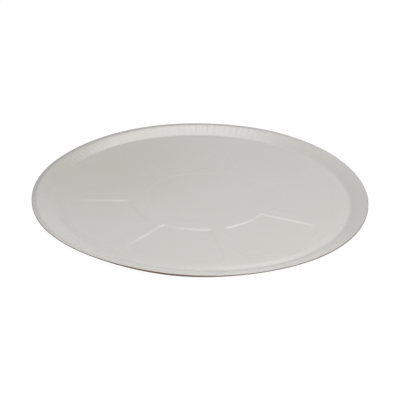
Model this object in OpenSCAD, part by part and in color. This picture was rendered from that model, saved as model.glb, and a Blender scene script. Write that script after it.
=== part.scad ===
// Pressed paper pizza tray
// One sheet of coated board, pressed into a round tray with a pleated rim.
// The floor has a raised ring and raised ribs, with pressed panels between them.
// Units are millimetres. Z is up, and z = 0 is the face that the tray rests on.

/* [Tray] */
// Diameter over the rim
tray_d = 360; // [250:5:450]
// Height from the resting face to the crest of the rim
tray_h = 6.6; // [5.5:0.1:12]
// Thickness of the board
board_t = 0.7; // [0.5:0.05:0.9]

/* [Rim] */
// Width of the rim, from the foot of the wall to the outer edge
rim_w = 22.5; // [17:0.5:30]
// Run of the sloping wall
wall_w = 10; // [6:0.5:11]
// Run of the bend at the foot of the wall, on each side of the foot
foot_bend_w = 1.8; // [1:0.1:2.5]
// Height that the flange climbs, from the top of the wall to the crest
flange_rise = 2.2; // [0.6:0.1:2.8]
// Width of the level crest
crest_w = 1.6; // [1:0.2:1.8]
// Run of the turned lip, from the middle of the crest to the outer edge
lip_w = 4.8; // [3:0.2:5]
// Drop of the lip's outer edge below the crest
lip_drop = 0.7; // [0.3:0.1:2.8]

/* [Pleats] */
// Number of pleats round the rim
pleats = 160; // [90:1:170]
// Depth of a pleat
pleat_depth = 0.45; // [0.2:0.05:0.8]

/* [Floor] */
// Depth that the panels and the centre are pressed below the ribs
press_depth = 0.8; // [0.5:0.1:2]
// Run of the sloping side round each panel and the centre
press_slope_w = 2; // [1.5:0.1:3]
// Diameter of the pressed centre
centre_d = 116; // [90:1:130]
// Width of the raised ring round the centre
ring_w = 16; // [10:1:24]
// Width of the band between the panels and the foot of the wall
margin_w = 13.5; // [8:0.5:24]
// Width of the level part of that band, before it falls to the foot of the wall
level_w = 3; // [1:0.5:4]

/* [Ribs] */
// Number of radial ribs
ribs = 7; // [5:1:9]
// Width of a rib, over its top
rib_w = 15; // [10:1:18]
// Angle of the first rib, anticlockwise from the right
rib_turn = 27.6; // [0:0.1:51]
// Corner radius at a panel's outer end
outer_corner = 14; // [8:1:16]
// Corner radius at a panel's inner end
inner_corner = 4; // [3.5:0.5:8]

/* [Hidden] */

board_colour = [0.84, 0.83, 0.81];
// Points round the rim: the ridge and the valley of each pleat
rim_points = 2 * pleats;
// Steps along a panel's outer arc, outer corner, inner corner and inner arc, for half of the panel
arc_steps = 5;
outer_corner_steps = 6;
inner_corner_steps = 3;
inner_arc_steps = 3;
// Height that a cutting shape stands above the floor, to leave no skin
over = 1;

tray_r = tray_d / 2;
foot_r = tray_r - rim_w;
panel_r = foot_r - margin_w;
centre_r = centre_d / 2;
ring_r = centre_r + ring_w;
rib_pitch = 360 / ribs;
// Upper face of the ribs, and their underside
floor_z = press_depth + board_t;
floor_under_z = press_depth;
// The rim's heights, on its upper face
crest_z = tray_h;
wall_top_z = crest_z - flange_rise;
lip_z = crest_z - lip_drop;

// A corner keeps a radius where the sloping side ends
inner_corner_r = max(inner_corner, press_slope_w + 0.5);

function polar(radius, angle) = radius * [cos(angle), sin(angle)];

// Section of the rim

wall_top_r = foot_r + wall_w;
crest_r = tray_r - lip_w;
// Height that the foot's underside keeps above the resting face
foot_clear = 0.05;
// The foot lies as low as the panels
foot_z = board_t + foot_clear;
wall_slope = (wall_top_z - foot_z) / wall_w;
// Share of the full pleat at the foot, the outer side of the crest and the lip's edge
foot_pleat = 0.35;
crest_pleat = 0.8;
lip_pleat = 0.4;

// The upper face as [radius, height, share of the pleat]: the outer band's fall to the foot, the wall,
// the flange, the crest and the lip
rim_face = [
    [panel_r + level_w, floor_z, 0],
    [foot_r - foot_bend_w, foot_z, 0],
    [foot_r + foot_bend_w, foot_z + foot_bend_w * wall_slope, foot_pleat],
    [wall_top_r, wall_top_z, 1],
    [crest_r - crest_w / 2, crest_z, 1],
    [crest_r + crest_w / 2, crest_z, crest_pleat],
    [tray_r, lip_z, lip_pleat]
];

function segment_normal(a, b) = let (run = [b[0] - a[0], b[1] - a[1]]) [-run[1], run[0]] / norm(run);

// The normal at a point of the section, lengthened so that both neighbours keep their thickness
function section_normal(face, i) =
    let (
        last = len(face) - 1,
        before = i > 0 ? segment_normal(face[i - 1], face[i]) : [0, 1],
        after = i < last ? segment_normal(face[i], face[i + 1]) : before
    )
    (before + after) / (1 + before * after);

function lower_face(face) = [
    for (i = [len(face) - 1 : -1 : 0])
        let (shift = board_t * section_normal(face, i))
        [face[i][0] - shift[0], face[i][1] - shift[1], face[i][2]]
];

// One point of the section, taken round the rim: every other station drops into a pleat's valley
function rim_ring(point) = [
    for (j = [0 : rim_points - 1])
        let (flat = polar(point[0], 360 * j / rim_points), drop = j % 2 * pleat_depth * point[2])
        [flat[0], flat[1], point[1] - drop]
];

// Faces between stacked rings of count points each, closed by one flat face at each end
function ring_faces(rings, count) = concat(
    [[for (j = [count - 1 : -1 : 0]) j]],
    [
        for (k = [0 : rings - 2], j = [0 : count - 1])
            let (near = k * count, far = near + count, next = (j + 1) % count)
            each [[near + j, near + next, far + next], [near + j, far + next, far + j]]
    ],
    [[for (j = [0 : count - 1]) (rings - 1) * count + j]]
);

// The flat sheet at rib level, with the outer band and the pleated rim as one board
module sheet() {
    section = concat(rim_face, lower_face(rim_face));
    polyhedron(
        points = [for (point = section) each rim_ring(point)],
        faces = ring_faces(len(section), rim_points),
        convexity = 6
    );
}

// Panels between the ribs

// In a rib's own axes, x runs along the rib and y runs from its centreline into the panel
outer_centre_y = rib_w / 2 + outer_corner;
outer_centre_r = panel_r - outer_corner;
outer_centre_x = sqrt(outer_centre_r * outer_centre_r - outer_centre_y * outer_centre_y);
outer_turn = asin(outer_centre_y / outer_centre_r);
inner_centre_y = rib_w / 2 + inner_corner_r;
inner_centre_r = ring_r + inner_corner_r;
inner_centre_x = sqrt(inner_centre_r * inner_centre_r - inner_centre_y * inner_centre_y);
inner_turn = asin(inner_centre_y / inner_centre_r);

// From a rib's axes to the panel's own, where the panel lies along x
function from_rib(p) =
    let (turn = rib_pitch / 2)
    [p[0] * cos(turn) + p[1] * sin(turn), p[0] * sin(turn) - p[1] * cos(turn)];

function corner_arc(centre, radius, from, to, first, steps) = [
    for (i = [first : steps])
        from_rib(centre + polar(radius, from + (to - from) * i / steps))
];

// Half of a panel's outline, moved in by inset: outer arc, outer corner, inner corner, inner arc
function half_panel(inset) = concat(
    [for (i = [0 : arc_steps]) polar(panel_r - inset, (rib_pitch / 2 - outer_turn) * i / arc_steps)],
    corner_arc([outer_centre_x, outer_centre_y], outer_corner - inset, outer_turn, -90, 1, outer_corner_steps),
    corner_arc([inner_centre_x, inner_centre_y], inner_corner_r - inset, -90, inner_turn - 180, 0,
        inner_corner_steps),
    [
        for (i = [inner_arc_steps - 1 : -1 : 0])
            polar(ring_r + inset, (rib_pitch / 2 - inner_turn) * i / inner_arc_steps)
    ]
);

function panel_outline(inset) =
    let (half = half_panel(inset))
    concat(half, [for (i = [len(half) - 2 : -1 : 1]) [half[i][0], -half[i][1]]]);

// The sloping side moves in as it falls. Its underside keeps the board's thickness square to it.
slope_per_height = press_slope_w / press_depth;
slope_angle = atan2(press_depth, press_slope_w);

function upper_inset(z) = (floor_z - z) * slope_per_height;
function under_inset(z) = upper_inset(z) - board_t / sin(slope_angle);

// The board's upper face in a panel or the centre, cut down from above the floor
upper_levels = [floor_z + over, board_t];
// Its underside, which starts inside the sheet
under_levels = [floor_under_z + board_t / 2, 0];

// A panel's shape between its outlines at two heights, the upper first
module panel_loft(levels, insets) {
    outlines = [for (inset = insets) panel_outline(inset)];
    polyhedron(
        points = [for (i = [0, 1], p = outlines[i]) [p[0], p[1], levels[i]]],
        faces = ring_faces(2, len(outlines[0])),
        convexity = 4
    );
}

module centre_dish(levels, insets) {
    rotate_extrude($fn = 96)
        polygon([
            [0, levels[0]],
            [centre_r - insets[0], levels[0]],
            [centre_r - insets[1], levels[1]],
            [0, levels[1]]
        ]);
}

module each_panel() {
    for (i = [0 : ribs - 1])
        rotate(rib_turn + rib_pitch * (i + 0.5))
            children();
}

module pressed_undersides() {
    insets = [for (z = under_levels) under_inset(z)];
    each_panel() panel_loft(under_levels, insets);
    centre_dish(under_levels, insets);
}

module pressed_hollows() {
    insets = [for (z = upper_levels) upper_inset(z)];
    each_panel() panel_loft(upper_levels, insets);
    centre_dish(upper_levels, insets);
}

module tray() {
    color(board_colour)
        difference() {
            union() {
                sheet();
                pressed_undersides();
            }
            pressed_hollows();
        }
}

tray();
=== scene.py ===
import math
import random

import bpy
import numpy as np
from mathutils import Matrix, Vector
from mathutils.geometry import delaunay_2d_cdt


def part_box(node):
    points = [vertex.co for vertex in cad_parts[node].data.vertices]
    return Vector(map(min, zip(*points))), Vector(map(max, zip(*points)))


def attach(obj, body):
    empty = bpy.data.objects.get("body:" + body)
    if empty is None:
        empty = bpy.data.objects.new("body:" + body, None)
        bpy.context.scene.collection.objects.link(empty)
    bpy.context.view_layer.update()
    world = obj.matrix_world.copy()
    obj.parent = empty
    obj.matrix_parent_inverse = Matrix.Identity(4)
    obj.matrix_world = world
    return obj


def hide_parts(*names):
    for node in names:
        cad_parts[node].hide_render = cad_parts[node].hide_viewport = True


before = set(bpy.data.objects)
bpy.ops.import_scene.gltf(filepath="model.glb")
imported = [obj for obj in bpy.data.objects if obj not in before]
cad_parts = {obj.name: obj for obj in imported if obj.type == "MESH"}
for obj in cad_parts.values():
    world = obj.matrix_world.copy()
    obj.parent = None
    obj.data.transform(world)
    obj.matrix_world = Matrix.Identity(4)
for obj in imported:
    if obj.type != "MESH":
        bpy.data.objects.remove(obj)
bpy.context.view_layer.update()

_, trayHigh = [Vector(corner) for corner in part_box("tray")]
mm = 0.001
scene = bpy.context.scene
scene.view_settings.view_transform = "Standard"


# Shader graphs: an expression on Values adds its Math nodes

class Value:
    def __init__(self, graph, socket):
        self.graph = graph
        self.socket = socket

    def math(self, operation, *others):
        return self.graph.node("ShaderNodeMath", {"operation": operation}, dict(enumerate((self, *others))))

    def __add__(self, other):
        return self.math("ADD", other)

    __radd__ = __add__

    def __mul__(self, other):
        return self.math("MULTIPLY", other)

    __rmul__ = __mul__

    def __sub__(self, other):
        return self.math("SUBTRACT", other)

    def __rsub__(self, other):
        return self.graph.node("ShaderNodeMath", {"operation": "SUBTRACT"}, {0: other, 1: self})

    def smooth(self, low, high):
        # 0 below low, 1 above high
        settings = {"interpolation_type": "SMOOTHSTEP"}
        inputs = {"Value": self, "From Min": low, "From Max": high}
        return self.graph.node("ShaderNodeMapRange", settings, inputs)


class Graph:
    # the nodes of a material or of the world
    def __init__(self, owner, output):
        owner.use_nodes = True
        self.tree = owner.node_tree
        self.tree.nodes.clear()
        self.output = output

    def node(self, kind, settings=None, inputs=None, output=0):
        made = self.tree.nodes.new(kind)
        for name, value in (settings or {}).items():
            setattr(made, name, value)
        for name, value in (inputs or {}).items():
            if isinstance(value, Value):
                self.tree.links.new(value.socket, made.inputs[name])
            else:
                made.inputs[name].default_value = value
        return Value(self, made.outputs[output]) if len(made.outputs) else made

    def mix(self, share, first, second):
        # colours: 6 and 7 are the colour sockets, and output 2 is the colour
        settings = {"data_type": "RGBA"}
        return self.node("ShaderNodeMix", settings, {0: share, 6: first, 7: second}, 2)

    def place(self, stretch=(1, 1, 1)):
        spot = self.node("ShaderNodeTexCoord", output="Object")
        return self.node("ShaderNodeVectorMath", {"operation": "MULTIPLY"}, {0: spot, 1: stretch})

    def noise(self, size, detail=2, stretch=(1, 1, 1)):
        # size is one patch of the noise, in metres
        inputs = {"Vector": self.place(stretch), "Scale": 1 / size, "Detail": detail}
        return self.node("ShaderNodeTexNoise", None, inputs)

    def paint(self, inputs):
        self.finish(self.node("ShaderNodeBsdfPrincipled", None, inputs))

    def finish(self, shader):
        self.node(self.output, None, {"Surface": shader})


def newMaterial(name):
    material = bpy.data.materials.new(name)
    return material, Graph(material, "ShaderNodeOutputMaterial")


def srgb(red, green, blue):
    # a colour as the screen shows it, 0 to 255, as the linear one that Blender takes
    def linear(value):
        value /= 255
        return value / 12.92 if value <= 0.04045 else ((value + 0.055) / 1.055) ** 2.4

    return (linear(red), linear(green), linear(blue), 1)


# The pressed floor: ribs, ring and outer band at one height, panels and centre below them

floor = {
    "board": 0.7 * mm,
    "pressDepth": 0.8 * mm,      # from the ribs down to the panels
    "pressRun": 2.0 * mm,        # run of the sloping side round a panel
    "softRun": 1.2 * mm,         # how much wider the paper spreads that slope, on each side
    # of each panel: the share of the depth that its middle kept, how much of that its outer end lost, and how
    # much more its anticlockwise side kept
    "panelPress": (0.25, 0.33, 0.46, 0.9, 0.79, 0.82, 0.3),
    "panelFade": (0, 0.1, 0.5, 0.6, 0.4, 0, 0),
    "panelLean": (0.1, -0.5, 0.4, 0, -0.16, -0.1, 0),
    "centrePress": 0.37,         # the same for the middle of the centre
    "centreLean": 0.28,          # and how much that changes towards its edge
    "centreTurn": math.radians(130),  # where the centre is deepest
    "centreRadius": 58 * mm,
    "centreSteps": 160,
    "ringWidth": 16 * mm,
    "bandWidth": 13.5 * mm,      # between the panels and the foot of the wall
    "ribs": 7,
    "ribWidth": 15 * mm,
    "ribTurn": math.radians(27.6),
    "outerCorner": 14 * mm,
    "innerCorner": 4 * mm,
    "facetSize": 7 * mm,         # of the triangles in the flat parts
    "bow": 0.04 * mm,            # of the straight side of a rib
    "arcSteps": 12,
    "cornerSteps": 10,
    "sideSteps": 8,
    "slopeSteps": 7,
}

rim = {
    "width": 22.5 * mm,
    "wallRun": 10 * mm,
    "flangeRise": 2.2 * mm,
    "crestWidth": 1.6 * mm,
    "lipRun": 4.8 * mm,          # from the middle of the crest to the cut edge
    "lipDrop": 0.7 * mm,
    "levelRun": 3 * mm,          # how far the outer band stays level past the panels
    "footClear": 0.05 * mm,
    "pleats": 160,
    "pleatDepth": 0.095 * mm,
    "pleatTilt": 0.025 * mm,     # one side of a fold stands this much over the other
    # where the pleats are deeper or shallower, with turn and width in degrees
    "pleatGain": ((58, 24, -0.75), (88, 15, 0.45), (143, 20, -0.45)),
    # places where the rim is bent, or where its cut edge hangs lower: turn and width in degrees, size in
    # millimetres
    "reach": ((15, 22, -1.75), (67, 11, 0.9), (100, 15, -0.1), (158, 28, -1.7), (207, 14, 1.0),
              (247, 20, -1.9), (322, 24, 1.9)),
    "sag": ((25, 25, 0.6), (143, 25, 1.2), (320, 30, 1.4)),
    "lipLift": ((240, 35, 0.5),),
    "footShift": ((310, 37, 7.5),),
    "edgeHang": ((260, 19, 1.3),),
    # painted shade on the coating in places, with turn and width in degrees: the lip, its edge and the wall
    "lipShade": ((157, 40, 0.45), (20, 60, 0.03), (92, 42, 0.4), (293, 20, 0.3)),
    "edgeShade": ((90, 85, 1), (185, 25, 0.6), (325, 40, 0.8)),
    "wallShade": ((343, 38, 0.22),),
}

rimRadius = trayHigh.x
crestZ = trayHigh.z
footRadius = rimRadius - rim["width"]
panelRadius = footRadius - floor["bandWidth"]
ringRadius = floor["centreRadius"] + floor["ringWidth"]
panelZ = floor["board"]
ribZ = panelZ + floor["pressDepth"]
ribPitch = math.tau / floor["ribs"]
dice = random.Random(41)


class Sheet:
    # the upper face of the board, as points and faces, and how much shade is painted on the coating at each
    # point
    def __init__(self):
        self.points = []
        self.faces = []
        self.paintedShades = []

    def loop(self, points, paintedShades=None):
        first = len(self.points)
        self.points.extend(points)
        self.paintedShades.extend(paintedShades or [0] * len(points))
        return list(range(first, len(self.points)))

    def bridge(self, inner, outer):
        # inner and outer run the same way round, and inner lies on their left
        count = len(inner)
        for i in range(count):
            after = (i + 1) % count
            self.faces.append((inner[i], outer[i], outer[after], inner[after]))

    def fill(self, outer, holes, heightAt):
        # a face inside one loop and outside others, worked out in millimetres
        loops = [outer, *holes]
        flat = [np.array([self.points[i][:2] for i in loop]) / mm for loop in loops]
        spare = insidePoints(flat[0], flat[1:])
        known = [i for loop in loops for i in loop]
        known += self.loop([(x * mm, y * mm, heightAt(x * mm, y * mm)) for x, y in spare])
        edges = []
        start = 0
        for loop in loops:
            edges += [(start + i, start + (i + 1) % len(loop)) for i in range(len(loop))]
            start += len(loop)
        spots = [Vector((x, y)) for x, y in np.concatenate([*flat, spare])]
        made, _, triangles, sources, _, _ = delaunay_2d_cdt(spots, edges, [], 0, 1e-4)
        index = [known[source[0]] for source in sources]
        middles = np.array([[sum(made[i][k] for i in tri) / 3 for k in (0, 1)] for tri in triangles])
        keep = isInside(middles, flat[0])
        for hole in flat[1:]:
            keep &= ~isInside(middles, hole)
        self.faces += [tuple(index[i] for i in tri) for tri, kept in zip(triangles, keep) if kept]


def isInside(points, loop):
    following = np.roll(loop, -1, axis=0)
    x, y = points[:, :1], points[:, 1:]
    crosses = (loop[:, 1] > y) != (following[:, 1] > y)
    rise = np.where(following[:, 1] == loop[:, 1], 1, following[:, 1] - loop[:, 1])
    reach = loop[:, 0] + (y - loop[:, 1]) / rise * (following[:, 0] - loop[:, 0])
    return (crosses & (x < reach)).sum(axis=1) % 2 == 1


def insidePoints(outer, holes):
    # a net of points inside the outer loop, clear of every loop, in millimetres
    size = floor["facetSize"] / mm
    low, high = outer.min(axis=0), outer.max(axis=0)
    rows = np.arange(low[1], high[1], size * 0.866)
    spots = [
        (x + (size / 2 if n % 2 else 0), y)
        for n, y in enumerate(rows)
        for x in np.arange(low[0], high[0], size)
    ]
    spots = np.array(spots)
    keep = isInside(spots, outer)
    for hole in holes:
        keep &= ~isInside(spots, hole)
    spots = spots[keep]
    edge = np.concatenate([outer, *holes])
    gap = np.array([np.hypot(*(edge - spot).T).min() for spot in spots])
    return spots[gap > size * 0.45]


def arc(centre, radius, start, end, steps):
    turns = [start + (end - start) * i / steps for i in range(steps + 1)]
    return [(centre[0] + radius * math.cos(turn), centre[1] + radius * math.sin(turn)) for turn in turns]


def line(start, end, steps):
    # the points between two ends, bowed to the right by a hair, so that no three lie in line
    across = (end[1] - start[1], start[0] - end[0])
    reach = floor["bow"] / math.hypot(*across)
    points = []
    for share in [i / steps for i in range(1, steps)]:
        bow = 4 * share * (1 - share) * reach
        points.append(tuple(a + (b - a) * share + bow * c for a, b, c in zip(start, end, across)))
    return points


def panelOutline(inset):
    # a panel lies along x; in its rib's own axes x runs along the rib and y into the panel
    half = ribPitch / 2
    outer, inner = floor["outerCorner"], floor["innerCorner"]
    edge = floor["ribWidth"] / 2
    outerRadius, innerRadius = panelRadius - outer, ringRadius + inner
    outerTurn = math.asin((edge + outer) / outerRadius)
    innerTurn = math.asin((edge + inner) / innerRadius)
    outerCentre = (outerRadius * math.cos(outerTurn), edge + outer)
    innerCentre = (innerRadius * math.cos(innerTurn), edge + inner)

    def fromRib(points):
        along, across = math.cos(half), math.sin(half)
        return [(x * along + y * across, x * across - y * along) for x, y in points]

    steps = floor["cornerSteps"]
    outerArc = fromRib(arc(outerCentre, outer - inset, outerTurn, -math.pi / 2, steps))
    innerArc = fromRib(arc(innerCentre, inner - inset, -math.pi / 2, innerTurn - math.pi, steps))
    farArc = arc((0, 0), panelRadius - inset, 0, half - outerTurn, floor["arcSteps"])
    nearArc = arc((0, 0), ringRadius + inset, half - innerTurn, 0, floor["arcSteps"])
    side = line(outerArc[-1], innerArc[0], floor["sideSteps"])
    upper = farArc + outerArc[1:] + side + innerArc + nearArc[1:]
    return upper + [(x, -y) for x, y in reversed(upper[1:-1])]


def slopeLevels():
    # (inset, share of the depth) from the rib's level to the panel's, with a level step at each end
    soft, run, steps = floor["softRun"], floor["pressRun"], floor["slopeSteps"]
    levels = [(-soft - 0.5 * mm, 0)]
    for i in range(steps + 1):
        share = i / steps
        levels.append((-soft + share * (run + 2 * soft), share * share * (3 - 2 * share)))
    levels.append((run + soft + 0.4 * mm, 1))
    return levels


def addPressed(sheet, outlines, pressAt):
    # a panel or the centre: its sloping side and its floor; returns the upper loop
    loops = []
    for outline, (_, share) in zip(outlines, slopeLevels()):
        drop = share * floor["pressDepth"]
        loops.append(sheet.loop([(x, y, ribZ - drop * pressAt(x, y)) for x, y in outline]))
    for upper, lower in zip(loops, loops[1:]):
        sheet.bridge(lower, upper)
    sheet.fill(loops[-1], [], lambda x, y: ribZ - floor["pressDepth"] * pressAt(x, y))
    return loops[0]


def turned(points, turn):
    along, across = math.cos(turn), math.sin(turn)
    return [(x * along - y * across, x * across + y * along) for x, y in points]


def panelPress(turn, press, fade, lean):
    # returns how deep a point of a panel was pressed, as a share of the full depth
    start = 0.5 * (ringRadius + panelRadius)

    def pressAt(x, y):
        out = min(1, max(0, (math.hypot(x, y) - start) / (panelRadius - start)))
        side = ((math.atan2(y, x) - turn + math.pi) % math.tau - math.pi) / (ribPitch / 2)
        return press * (1 + lean * side) * (1 - fade * out * out * (3 - 2 * out))

    return pressAt


def addPanels(sheet):
    panel = [panelOutline(inset) for inset, _ in slopeLevels()]
    holes = []
    for i, values in enumerate(zip(floor["panelPress"], floor["panelFade"], floor["panelLean"])):
        turn = floor["ribTurn"] + (i + 0.5) * ribPitch
        holes.append(addPressed(sheet, [turned(points, turn) for points in panel], panelPress(turn, *values)))
    return holes


def addCentre(sheet):
    radius = floor["centreRadius"]
    deepest = floor["centreTurn"]
    steps = floor["centreSteps"]
    rings = [arc((0, 0), radius - inset, 0, math.tau, steps)[:-1] for inset, _ in slopeLevels()]

    def pressAt(x, y):
        towards = x * math.cos(deepest) + y * math.sin(deepest)
        return floor["centrePress"] + floor["centreLean"] * towards / radius

    return addPressed(sheet, rings, pressAt)


# The rim: outer band, foot, wall, pleated flange, crest and turned lip

def rimSection():
    # corners of the upper face as (radius, height, share of a pleat, share of the foot's shift),
    # rounded by cutting corners once
    wallTop = footRadius + rim["wallRun"]
    crest = rimRadius - rim["lipRun"]
    flangeEnd = crest - rim["crestWidth"] / 2
    footZ = panelZ + rim["footClear"]
    flangeZ = crestZ - rim["flangeRise"]
    lipZ = crestZ - rim["lipDrop"]
    wallSlope = (flangeZ - footZ) / rim["wallRun"]
    flangeSlope = rim["flangeRise"] / (flangeEnd - wallTop)
    lipSlope = rim["lipDrop"] / rim["lipRun"]
    bandEdge = panelRadius + rim["levelRun"]
    bend, tight = 2 * mm, 1.4 * mm
    corners = [
        (bandEdge - 0.5 * mm, ribZ, 0, 0),
        (bandEdge + 0.1 * bend, ribZ, 0, 1.2),
        (bandEdge + 0.6 * bend, ribZ, 0, 1.3),
        (footRadius - 1.3 * bend, footZ + 0.08 * mm, 0, 1.05),
        (footRadius + 0.1 * bend, footZ, 0.1, 0.9),
        (footRadius + 1.3 * bend, footZ + 1.3 * bend * wallSlope, 0.7, 0.8),
        (wallTop - 0.7 * bend, flangeZ - 0.7 * bend * wallSlope, 1, 0.5),
        (wallTop + 0.7 * bend, flangeZ + 0.7 * bend * flangeSlope, 1, 0.3),
        (flangeEnd - tight, crestZ - tight * flangeSlope, 0.95, 0.1),
        (crest, crestZ, 0.8, 0),
        (crest + tight, crestZ - tight * lipSlope, 0.6, 0),
        (rimRadius, lipZ, 0.4, 0),
    ]
    cut = [corners[0]]
    for near, far in zip(corners, corners[1:]):
        cut.append(tuple(0.75 * a + 0.25 * b for a, b in zip(near, far)))
        cut.append(tuple(0.25 * a + 0.75 * b for a, b in zip(near, far)))
    return [*cut, corners[-1]]


def bendAt(bumps, angle):
    # the sum of smooth bumps round the rim, in metres
    total = 0
    for turn, width, size in bumps:
        away = (math.degrees(angle) - turn + 180) % 360 - 180
        total += size * mm * math.exp(-(away / width) ** 2)
    return total


def shareAt(bumps, angle):
    # the same for bumps whose size is a share, not millimetres
    return bendAt(bumps, angle) / mm


def paintedShadeAt(radius, angle):
    # painted shade: the wall, the lip and the lip's last strip are darker than the floor
    crest = rimRadius - rim["lipRun"]
    onWall = min(1, max(0, (radius - footRadius) / mm / 4))
    onLip = min(1, max(0, (radius - crest) / mm * 0.6 + 0.5))
    paintedShade = onWall * shareAt(rim["wallShade"], angle) + onLip * shareAt(rim["lipShade"], angle)
    if radius == rimRadius:
        paintedShade += shareAt(rim["edgeShade"], angle)
    return min(1, paintedShade)


def pleatColumns():
    # (turn, slant, drop, tilt) of each column of points round the rim, in order
    pitch = math.tau / rim["pleats"]
    folds = []
    for i in range(rim["pleats"]):
        gain = 1 + shareAt(rim["pleatGain"], i * pitch)
        folds.append({
            "turn": (i + dice.uniform(-0.16, 0.16)) * pitch,
            "half": dice.uniform(0.15, 0.27) * pitch,
            "slant": dice.gauss(0, 0.05) * pitch,
            "depth": dice.uniform(0.45, 1.15) * rim["pleatDepth"] * gain,
            "tilt": dice.uniform(-1, 1) * rim["pleatTilt"] * gain,
        })
    columns = []
    for fold, following in zip(folds, folds[1:] + folds[:1]):
        for place, drop in ((-1, 0), (-0.5, 0.42), (0, 1), (0.5, 0.42), (1, 0)):
            side = place * fold["tilt"]
            columns.append((fold["turn"] + place * fold["half"], fold["slant"], drop * fold["depth"], side))
        start = fold["turn"] + fold["half"]
        end = following["turn"] - following["half"] + (math.tau if following is folds[0] else 0)
        for share in (0.3, 0.5, 0.7):
            turn = start + (end - start) * share
            tilt = fold["tilt"] * (1 - share) - following["tilt"] * share
            slant = fold["slant"] * (1 - share) + following["slant"] * share
            columns.append((turn, slant, -0.04 * mm, tilt))
    return columns


def addRim(sheet):
    # returns the innermost and the outermost loop
    section = rimSection()
    columns = pleatColumns()
    lowest = rim["pleatTilt"] + 0.04 * mm
    span = rimRadius - footRadius
    crest = rimRadius - rim["lipRun"]
    loops = []
    for radius, height, share, shift in section:
        ring = []
        paintedShades = []
        out = max(0, radius - footRadius) / span
        lip = max(0, radius - crest) / rim["lipRun"]
        for turn, slant, drop, tilt in columns:
            angle = turn + slant * share * (out - 0.5)
            reach = radius + out * bendAt(rim["reach"], angle) + shift * bendAt(rim["footShift"], angle)
            bend = lip * bendAt(rim["lipLift"], angle) - out * bendAt(rim["sag"], angle)
            z = height + bend + share * (tilt - drop - lowest)
            ring.append((reach * math.cos(angle), reach * math.sin(angle), z))
            paintedShades.append(paintedShadeAt(radius, angle))
        loops.append(sheet.loop(ring, paintedShades))
    for inner, outer in zip(loops, loops[1:]):
        sheet.bridge(inner, outer)
    return loops[0], loops[-1]


def buildTray():
    # returns the tray and the points of its cut edge
    sheet = Sheet()
    holes = addPanels(sheet) + [addCentre(sheet)]
    inner, outer = addRim(sheet)
    sheet.fill(inner, holes, lambda x, y: ribZ)
    mesh = bpy.data.meshes.new("tray_board")
    mesh.from_pydata([tuple(p) for p in sheet.points], [], sheet.faces)
    mesh.attributes.new("paintedShade", "FLOAT", "POINT").data.foreach_set("value", sheet.paintedShades)
    mesh.validate()
    mesh.shade_smooth()
    tray = bpy.data.objects.new("tray_board", mesh)
    scene.collection.objects.link(tray)
    return tray, outer


def thicken(tray):
    shell = tray.modifiers.new("board", "SOLIDIFY")
    shell.thickness = floor["board"]
    shell.offset = -1
    shell.use_quality_normals = True
    shell.material_offset = 1
    shell.material_offset_rim = 2
    depsgraph = bpy.context.evaluated_depsgraph_get()
    solid = bpy.data.meshes.new_from_object(tray.evaluated_get(depsgraph))
    tray.modifiers.clear()
    old = tray.data
    tray.data = solid
    bpy.data.meshes.remove(old)
    solid.name = "tray_board"


def shapeEdge(tray, edge):
    # the cut edge stands upright, and hangs lower in places, widening the dark brown edge there
    points = tray.data.vertices
    count = len(points) // 2
    for i in edge:
        upper, lower = points[i].co, points[i + count].co
        hang = bendAt(rim["edgeHang"], math.atan2(upper.y, upper.x))
        lower.xyz = (upper.x, upper.y, lower.z - hang)


tray, cutEdge = buildTray()


# Finishes of the board

coated = {
    "colour": srgb(207, 204, 199),
    # the darker tone of the painted shade and of the random patches
    "shadeAndPatches": srgb(197, 193, 186),
    # colour of the painted shade on the lip, its last strip and the wall
    "paintedShade": srgb(124, 121, 117),
    "middle": (-0.12, 0.09, 0),  # of the painted shade, darker and warmer towards the rear-left: full as far as plain, gone at reach
    "plain": 0.02,
    "reach": 0.178,
    "roughness": 0.25,
    "fibre": 0.6 * mm,
    "patch": 45 * mm,
}

under = {
    "colour": srgb(136, 115, 97),
    "dark": srgb(110, 90, 73),
    "roughness": 0.8,
}


def coatedBoard():
    material, graph = newMaterial("coated_board")
    patches = graph.noise(coated["patch"], 3)
    spot = {0: graph.place(), 1: coated["middle"]}
    away = graph.node("ShaderNodeVectorMath", {"operation": "DISTANCE"}, spot, "Value")
    # painted shade: the board darkens towards the rear-left, mixed with random patches of tone
    shadeAndPatchShare = 1 - away.smooth(coated["plain"], coated["reach"]) + (patches - 0.5) * 0.5
    colour = graph.mix(shadeAndPatchShare, coated["colour"], coated["shadeAndPatches"])
    # painted shade: the lip, its last strip and the wall at the right are darkened towards this grey
    paintedShade = graph.node("ShaderNodeAttribute", {"attribute_name": "paintedShade"}, output="Fac")
    colour = graph.mix(paintedShade, colour, coated["paintedShade"])
    fibre = graph.noise(coated["fibre"], 3)
    roughness = fibre * 0.08 + (coated["roughness"] - 0.04)
    normal = graph.node("ShaderNodeBump", None, {"Height": fibre, "Strength": 0.25, "Distance": 0.03 * mm})
    graph.paint({"Base Color": colour, "Roughness": roughness, "Normal": normal})
    return material


def brownBoard(name, size):
    material, graph = newMaterial(name)
    fibre = graph.noise(size, 4)
    colour = graph.mix(fibre.smooth(0.3, 0.7), under["colour"], under["dark"])
    normal = graph.node("ShaderNodeBump", None, {"Height": fibre, "Strength": 0.4, "Distance": 0.05 * mm})
    graph.paint({"Base Color": colour, "Roughness": under["roughness"], "Normal": normal})
    return material


for material in (coatedBoard(), brownBoard("brown_underside", 1.2 * mm), brownBoard("cut_edge", 0.3 * mm)):
    tray.data.materials.append(material)
thicken(tray)
shapeEdge(tray, cutEdge)
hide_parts("tray")
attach(tray, "root")
print("tray built:", len(tray.data.polygons), "faces")


# Floor, light and camera

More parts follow.
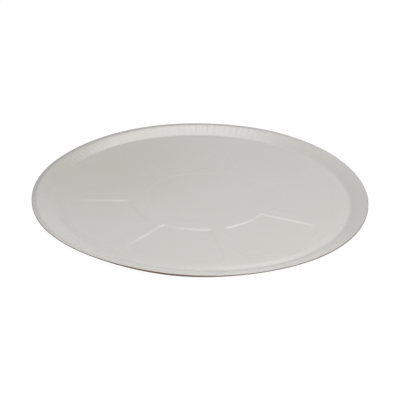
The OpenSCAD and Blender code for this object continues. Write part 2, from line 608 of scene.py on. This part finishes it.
studio = {
    "floorSize": 8,
    "floorGlow": 0.95,           # share of the floor's white that doesn't take shadow
    "glowLevel": 1.03,
    "worldLevel": 0.05,          # of the surroundings as a light; reflections see them white
    # turn, height in degrees, distance, size and power of each soft lamp
    "lamps": {
        "rear": (75, 60, 2.2, 1.2, 16),
        "left": (185, 40, 2.2, 1.2, 12),
        "right": (340, 45, 2.2, 1.2, 4.5),
        "near": (298, 45, 0.9, 0.5, 3.8),
    },
}

camera = {
    "elevation": math.radians(27),
    "distance": 10.2,            # in radii of the rim
    "lens": 154.9,
    "roll": math.radians(0.88),
    "aim": -0.044,               # in radii of the rim, along y from the middle at rib level
}


def buildFloor():
    material, graph = newMaterial("white_floor")
    paint = graph.node("ShaderNodeBsdfDiffuse", None, {"Color": (1, 1, 1, 1)})
    glow = graph.node("ShaderNodeEmission", None, {"Color": (1, 1, 1, 1), "Strength": studio["glowLevel"]})
    share = graph.node("ShaderNodeLightPath", output="Is Camera Ray") * studio["floorGlow"]
    graph.finish(graph.node("ShaderNodeMixShader", None, {0: share, 1: paint, 2: glow}))
    half = studio["floorSize"] / 2
    mesh = bpy.data.meshes.new("floor")
    corners = [(-half, -half, 0), (half, -half, 0), (half, half, 0), (-half, half, 0)]
    mesh.from_pydata(corners, [], [(0, 1, 2, 3)])
    mesh.materials.append(material)
    ground = bpy.data.objects.new("floor", mesh)
    scene.collection.objects.link(ground)


def buildWorld():
    scene.world = bpy.data.worlds.new("studio")
    graph = Graph(scene.world, "ShaderNodeOutputWorld")
    rays = ("Is Camera Ray", "Is Glossy Ray", "Is Transmission Ray")
    camera, glossy, passing = [graph.node("ShaderNodeLightPath", output=ray) for ray in rays]
    seen = camera.math("MAXIMUM", glossy).math("MAXIMUM", passing)
    levels = (studio["worldLevel"], 1)
    plain, white = [
        graph.node("ShaderNodeBackground", None, {"Color": (1, 1, 1, 1), "Strength": level}) for level in levels
    ]
    graph.finish(graph.node("ShaderNodeMixShader", None, {0: seen, 1: plain, 2: white}))


def addLamp(name, turn, height, distance, size, power):
    data = bpy.data.lights.new(name, "AREA")
    data.energy = power
    data.shape = "DISK"
    data.size = size
    lamp = bpy.data.objects.new(name, data)
    turn, height = math.radians(turn), math.radians(height)
    away = Vector((math.cos(height) * math.cos(turn), math.cos(height) * math.sin(turn), math.sin(height)))
    lamp.location = away * distance
    lamp.rotation_euler = (-away).to_track_quat("-Z", "Y").to_euler()
    scene.collection.objects.link(lamp)


def buildCamera():
    data = bpy.data.cameras.new("camera")
    data.lens = camera["lens"]
    data.sensor_width = 36
    eye = bpy.data.objects.new("camera", data)
    aim = Vector((0, camera["aim"] * rimRadius, ribZ))
    back = Vector((0, -math.cos(camera["elevation"]), math.sin(camera["elevation"])))
    eye.location = aim + back * camera["distance"] * rimRadius
    eye.rotation_euler = back.to_track_quat("Z", "Y").to_euler()
    eye.rotation_euler.rotate_axis("Z", camera["roll"])
    scene.collection.objects.link(eye)
    scene.camera = eye


buildFloor()
buildWorld()
for name, values in studio["lamps"].items():
    addLamp(name, *values)
buildCamera()
print("studio built")
